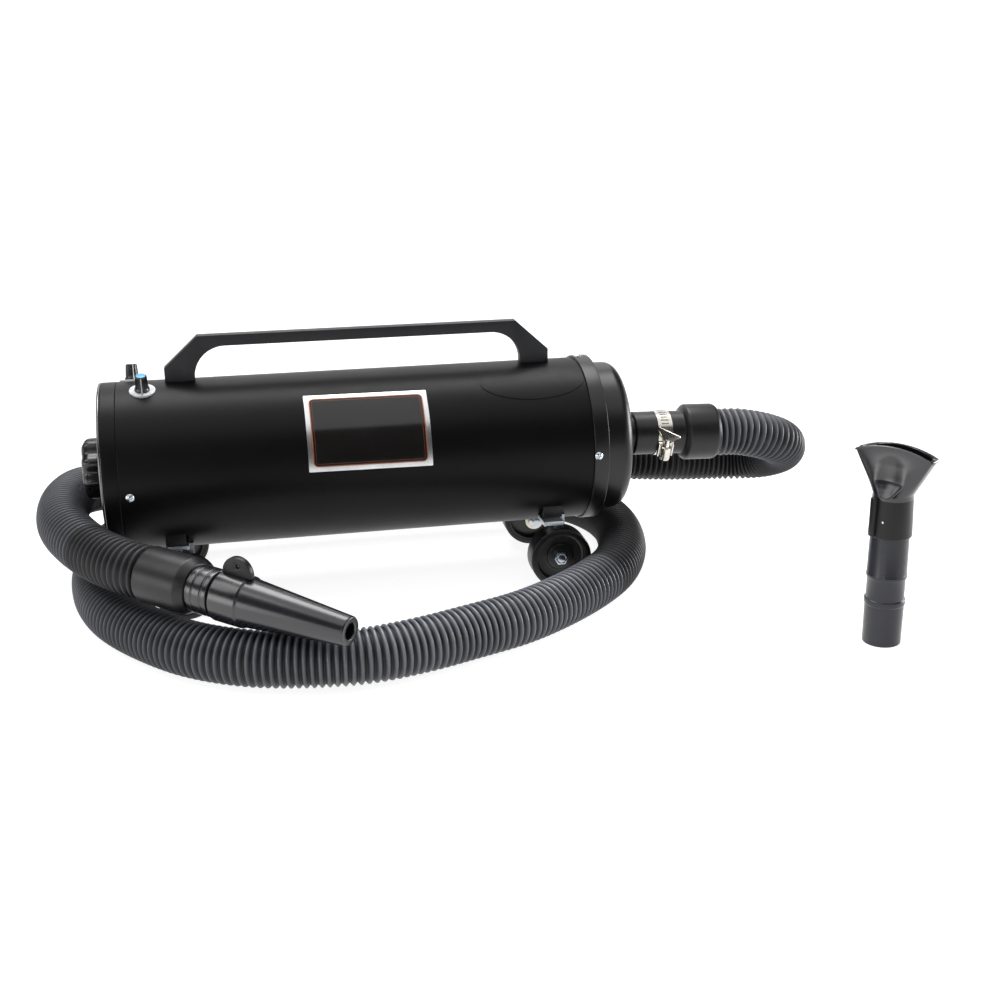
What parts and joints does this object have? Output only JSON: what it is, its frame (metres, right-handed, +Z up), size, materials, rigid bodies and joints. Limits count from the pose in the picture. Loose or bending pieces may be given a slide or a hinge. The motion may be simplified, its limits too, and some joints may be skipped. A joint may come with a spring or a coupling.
{
  "type": "pet dryer",
  "caption": "Canister pet dryer on wheels with a carry handle, speed knobs, a long ribbed hose with a cone nozzle, and a loose fan nozzle on its adapter.",
  "frame": {"origin": "on the floor under the middle of the canister, which lies 136 mm above it", "axes": "+X along the canister from the intake to the outlet, +Y towards the far side, away from the nameplate, +Z up"},
  "size_m": [0.8222, 0.4997, 0.262],
  "materials": {
    "body_paint": "black satin powder coat",
    "handle_paint": "dark grey powder coat",
    "black_plastic": "matt black moulding",
    "knob_plastic": "fluted black moulding",
    "blue_plastic": "light blue cap",
    "white_plastic": "white printed plastic",
    "badge_plastic": "dark grey moulded badge, bare",
    "plate_aluminium": "printed aluminium plate, bare panel",
    "filter_foam": "open-cell foam",
    "zinc_steel": "bright zinc plate",
    "sheet_steel": "galvanised sheet",
    "wheel_plastic": "black moulded hub",
    "tyre_rubber": "dark grey rubber",
    "cuff_rubber": "smooth grey-black rubber",
    "hose_plastic": "glossy dark grey ribbed plastic",
    "grey_plastic": "mid grey moulding",
    "nozzle_plastic": "glossy dark grey moulding",
    "gasket_rubber": "soft foam rubber",
    "motor_aluminium": "cast frame",
    "copper_windings": "windings and fan disc"
  },
  "bodies": {
    "housing": {"canister_tube": "body_paint", "intake_ring": "body_paint", "filter_cover": "black_plastic", "intake_filter": "filter_foam", "filter_bridge": "zinc_steel", "outlet_end_cap": "body_paint", "outlet_spigot": "zinc_steel", "end_screws": "zinc_steel", "carry_handle": "handle_paint", "handle_bolts": "zinc_steel", "nameplate": "plate_aluminium", "oval_badge": "badge_plastic", "front_dial_plate": "white_plastic", "rear_dial_plate": "white_plastic", "speed_controls": "black_plastic", "foot_blocks": "black_plastic", "wheel_brackets": "zinc_steel", "axle_bolts": "zinc_steel", "axle_nuts": "zinc_steel", "hose_cuff": "cuff_rubber", "clamp_band": "zinc_steel", "clamp_housing": "zinc_steel", "hose": "hose_plastic", "hand_cuff": "cuff_rubber", "nozzle_connector": "grey_plastic", "cord_gland": "black_plastic", "mount_plates": "sheet_steel", "motor_gaskets": "gasket_rubber", "motor_cases": "sheet_steel", "motor_frames": "motor_aluminium"},
    "filter_knob": {"filter_knob": "black_plastic"},
    "front_knob": {"front_control_shaft": "zinc_steel", "front_speed_knob": "knob_plastic", "front_knob_cap": "blue_plastic", "front_knob_pointer": "white_plastic"},
    "rear_knob": {"rear_control_shaft": "zinc_steel", "rear_speed_knob": "knob_plastic", "rear_knob_cap": "blue_plastic", "rear_knob_pointer": "white_plastic"},
    "clamp_key": {"clamp_key": "zinc_steel"},
    "cone_nozzle": {"cone_nozzle": "nozzle_plastic", "nozzle_ear": "nozzle_plastic"},
    "fan_adapter": {"fan_adapter": "grey_plastic"},
    "fan_nozzle": {"fan_nozzle": "nozzle_plastic"},
    "rotor_1": {"rotor_1": "copper_windings"},
    "rotor_2": {"rotor_2": "copper_windings"},
    "wheel_1": {"wheel_1_core": "wheel_plastic", "wheel_1_tyre": "tyre_rubber"},
    "wheel_2": {"wheel_2_core": "wheel_plastic", "wheel_2_tyre": "tyre_rubber"},
    "wheel_3": {"wheel_3_core": "wheel_plastic", "wheel_3_tyre": "tyre_rubber"},
    "wheel_4": {"wheel_4_core": "wheel_plastic", "wheel_4_tyre": "tyre_rubber"}
  },
  "joints": [
    {"name": "wheel_1_spin", "type": "hinge", "parent": "housing", "child": "wheel_1", "pos_m": [-0.1775, -0.066, 0.031], "axis": [0, 1, 0], "continuous": true},
    {"name": "wheel_2_spin", "type": "hinge", "parent": "housing", "child": "wheel_2", "pos_m": [0.1935, -0.066, 0.031], "axis": [0, 1, 0], "continuous": true},
    {"name": "wheel_3_spin", "type": "hinge", "parent": "housing", "child": "wheel_3", "pos_m": [-0.186, 0.066, 0.031], "axis": [0, 1, 0], "continuous": true},
    {"name": "wheel_4_spin", "type": "hinge", "parent": "housing", "child": "wheel_4", "pos_m": [0.1935, 0.066, 0.031], "axis": [0, 1, 0], "continuous": true},
    {"name": "front_knob_turn", "type": "hinge", "parent": "housing", "child": "front_knob", "pos_m": [-0.204, -0.02262, 0.21649], "axis": [0, -0.2706, 0.9627], "range_deg": [-150, 150]},
    {"name": "rear_knob_turn", "type": "hinge", "parent": "housing", "child": "rear_knob", "pos_m": [-0.215, 0.02262, 0.21649], "axis": [0, 0.2706, 0.9627], "range_deg": [-150, 150]},
    {"name": "filter_knob_turn", "type": "hinge", "parent": "housing", "child": "filter_knob", "pos_m": [-0.258, 0, 0.136], "axis": [1, 0, 0], "continuous": true},
    {"name": "clamp_key_turn", "type": "hinge", "parent": "housing", "child": "clamp_key", "pos_m": [0.31784, -0.0255, 0.12408], "axis": [0.034, -0.3746, 0.9266], "continuous": true},
    {"name": "cone_nozzle_turn", "type": "hinge", "parent": "housing", "child": "cone_nozzle", "pos_m": [-0.13309, -0.21363, 0.07352], "axis": [0.7762, -0.6264, -0.0715], "range_deg": [-75, 75]},
    {"name": "fan_adapter_lift", "type": "slide", "parent": "housing", "child": "fan_adapter", "axis": [0, 0, 1], "range_m": [0, 0.05]},
    {"name": "fan_nozzle_pull", "type": "slide", "parent": "fan_adapter", "child": "fan_nozzle", "axis": [0, 0, 1], "range_m": [0, 0.03]},
    {"name": "rotor_1_spin", "type": "hinge", "parent": "housing", "child": "rotor_1", "pos_m": [-0.1, 0, 0.136], "axis": [1, 0, 0], "continuous": true},
    {"name": "rotor_2_spin", "type": "hinge", "parent": "housing", "child": "rotor_2", "pos_m": [0.08, 0, 0.136], "axis": [1, 0, 0], "continuous": true}
  ]
}
